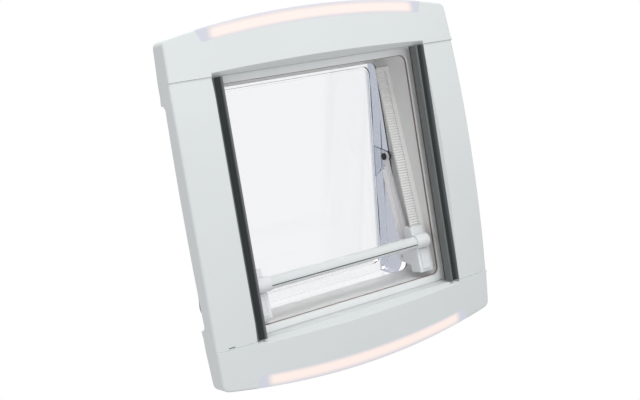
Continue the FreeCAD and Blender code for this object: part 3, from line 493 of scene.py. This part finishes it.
def clear_sheet(name, field, ends, border, bend):
    """Clear acrylic with one tint in its field, one at its two ends and one along its two sides."""
    material, tree, shader = new_finish(name)
    axes = new_axes(tree)
    aside = new_math(tree, "ABSOLUTE", axes["X"])
    off_middle = new_math(tree, "SUBTRACT", axes["Y"], field_middle)
    along = new_math(tree, "ABSOLUTE", off_middle)
    at_end = new_ramp(tree, along, field_reach, field_reach + field_edge)
    at_side = new_ramp(tree, aside, field_half, field_half + field_edge)
    tone = new_mix(tree, at_side, new_mix(tree, at_end, field, ends), border)
    tree.links.new(tone, shader.inputs["Base Color"])
    shader.inputs["Roughness"].default_value = sheet_roughness
    shader.inputs["IOR"].default_value = bend
    shader.inputs["Transmission Weight"].default_value = 1.0
    return material


bubble_clear = clear_sheet("bubble_clear", field_tone, field_tone, weld_tone, sheet_bend)
dress(bubble_clear, "outer_dome")
pane_clear = clear_sheet("pane_clear", field_tone, weld_tone, lavender_tone, sheet_bend)
dress(pane_clear, "inner_pane")

# Skirt of the dome: the clear edge strip that hangs down outside the upstand on the two sides and
# the opening end and keeps rain off the seal. It is bent from thin acrylic and welded to the flange.
lid_angle = math.radians(9)
hinge_place = Vector((0, -0.214, 0.040))
skirt_half = 0.1960
skirt_corner = 0.026
skirt_corner_steps = 8
skirt_top = 0.0525
skirt_bottom = 0.0115
skirt_sheet = 0.0016
skirt_hinge_end = -0.172
skirt_cut_facing = (0, -1, -0.35)
skirt_field = (0.93, 0.935, 0.945)
skirt_border = (0.50, 0.52, 0.585)
skirt_bend = 1.15
skirt_shape = bmesh.new()
bmesh.ops.create_grid(skirt_shape, x_segments=1, y_segments=1, size=skirt_half)
bmesh.ops.bevel(skirt_shape, geom=skirt_shape.verts[:], offset=skirt_corner, offset_type="OFFSET",
                affect="VERTICES", segments=skirt_corner_steps, profile=0.5, material=-1)
bmesh.ops.delete(skirt_shape, geom=skirt_shape.faces[:], context="FACES_ONLY")
bmesh.ops.translate(skirt_shape, verts=skirt_shape.verts, vec=(0, 0, skirt_top))
skirt_fall = bmesh.ops.extrude_edge_only(skirt_shape, edges=skirt_shape.edges[:])
bmesh.ops.translate(skirt_shape, verts=raised_corners(skirt_fall),
                    vec=(0, 0, skirt_bottom - skirt_top))
skirt_whole = skirt_shape.verts[:] + skirt_shape.edges[:] + skirt_shape.faces[:]
bmesh.ops.bisect_plane(skirt_shape, geom=skirt_whole, plane_co=(0, skirt_hinge_end, skirt_bottom),
                       plane_no=skirt_cut_facing, clear_outer=True)
bmesh.ops.recalc_face_normals(skirt_shape, faces=skirt_shape.faces)
bmesh.ops.solidify(skirt_shape, geom=skirt_shape.faces[:], thickness=skirt_sheet)
skirt_swing = Matrix.Rotation(lid_angle, 4, "X")
skirt_lift = Matrix.Translation(hinge_place) @ skirt_swing @ Matrix.Translation(-hinge_place)
bmesh.ops.transform(skirt_shape, matrix=skirt_lift, verts=skirt_shape.verts)
skirt_clear = clear_sheet("skirt_clear", skirt_field, skirt_field, skirt_border, skirt_bend)
add_piece("dome_skirt", skirt_shape, skirt_clear, "lid")

# Brackets: clear moulded lugs under the border of the pane that carry the bolts of the lift arms.
# They are of the same acrylic, a little more tinted and with a satin skin.
bracket_tone = (0.80, 0.82, 0.87, 1)
bracket_grain_scale = 900
bracket_drift_scale = 40
bracket_gloss, bracket_satin = 0.02, 0.12
bracket_clear, bracket_tree, bracket_shader = new_finish("bracket_clear")
bracket_grain = new_grain(bracket_tree, bracket_grain_scale, bracket_drift_scale)
bracket_skin = new_ramp(bracket_tree, bracket_grain["Grain"], low=bracket_gloss, high=bracket_satin)
bracket_tree.links.new(bracket_skin, bracket_shader.inputs["Roughness"])
bracket_shader.inputs["Base Color"].default_value = bracket_tone
bracket_shader.inputs["IOR"].default_value = sheet_bend
bracket_shader.inputs["Transmission Weight"].default_value = 1.0
dress(bracket_clear, "left_bracket", "right_bracket")

# Bolts and pins: drawn steel with fine turning marks and a little uneven oil. The pins of the hinges
# and of the arms' feet are bright, the bolts of the arms are blackened.
steel_mark_scale = 2200
steel_oil_scale = 120


def turned_steel(name, pale, deep, rough):
    """Drawn steel whose tone and gloss vary a little from place to place."""
    material, tree, shader = new_finish(name)
    marks = new_grain(tree, steel_mark_scale, steel_oil_scale)
    tree.links.new(new_mix(tree, marks["Drift"], pale, deep), shader.inputs["Base Color"])
    roughness = new_ramp(tree, marks["Grain"], low=rough[0], high=rough[1])
    tree.links.new(roughness, shader.inputs["Roughness"])
    shader.inputs["Metallic"].default_value = 1.0
    return material


bright_steel = turned_steel("drawn_steel", pale=(0.50, 0.50, 0.52), deep=(0.40, 0.40, 0.42),
                            rough=(0.24, 0.38))
dress(bright_steel, "left_hinge_pin", "right_hinge_pin", "left_foot_pin", "right_foot_pin")
black_steel = turned_steel("black_steel", pale=(0.060, 0.058, 0.064), deep=(0.040, 0.038, 0.044),
                           rough=(0.30, 0.45))
dress(black_steel, "left_arm_bolt", "right_arm_bolt")

# Bar screws in the outer ends of the bar sockets. They hold the bar in the slider blocks and are
# turned from the same blackened steel, with a round recess in the head.
screw_end = 0.1713
screw_place = (0.1255, -0.0370)
screw_radius = 0.0058
screw_height = 0.0022
screw_sides = 36
screw_round = screw_height / 4
screw_wall = screw_radius * 0.42
screw_recess = screw_height * 0.6
rim_level = screw_height * 0.9
facing_up = 0.99
for side, side_name in ((1, "right"), (-1, "left")):
    screw_shape = bmesh.new()
    bmesh.ops.create_cone(screw_shape, cap_ends=True, segments=screw_sides, radius1=screw_radius,
                          radius2=screw_radius, depth=screw_height)
    bmesh.ops.translate(screw_shape, verts=screw_shape.verts, vec=(0, 0, screw_height / 2))
    screw_rim = [edge for edge in screw_shape.edges
                 if all(corner.co.z > rim_level for corner in edge.verts)]
    bmesh.ops.bevel(screw_shape, geom=screw_rim, offset=screw_round, affect="EDGES", segments=2,
                    profile=0.5, material=-1)
    screw_top = [face for face in screw_shape.faces if face.normal.z > facing_up]
    bmesh.ops.inset_region(screw_shape, faces=screw_top, thickness=screw_wall)
    screw_floor = [face for face in screw_shape.faces
                   if face.normal.z > facing_up and len(face.verts) == screw_sides]
    screw_sunk = bmesh.ops.extrude_discrete_faces(screw_shape, faces=screw_floor)
    bmesh.ops.translate(screw_shape, vec=(0, 0, -screw_recess),
                        verts=[corner for face in screw_sunk["faces"] for corner in face.verts])
    screw_turn = Matrix.Rotation(side * math.pi / 2, 4, "Y")
    bmesh.ops.transform(screw_shape, matrix=screw_turn, verts=screw_shape.verts)
    bmesh.ops.translate(screw_shape, verts=screw_shape.verts, vec=(side * screw_end, *screw_place))
    add_piece(side_name + "_bar_screw", screw_shape, black_steel, "slider")
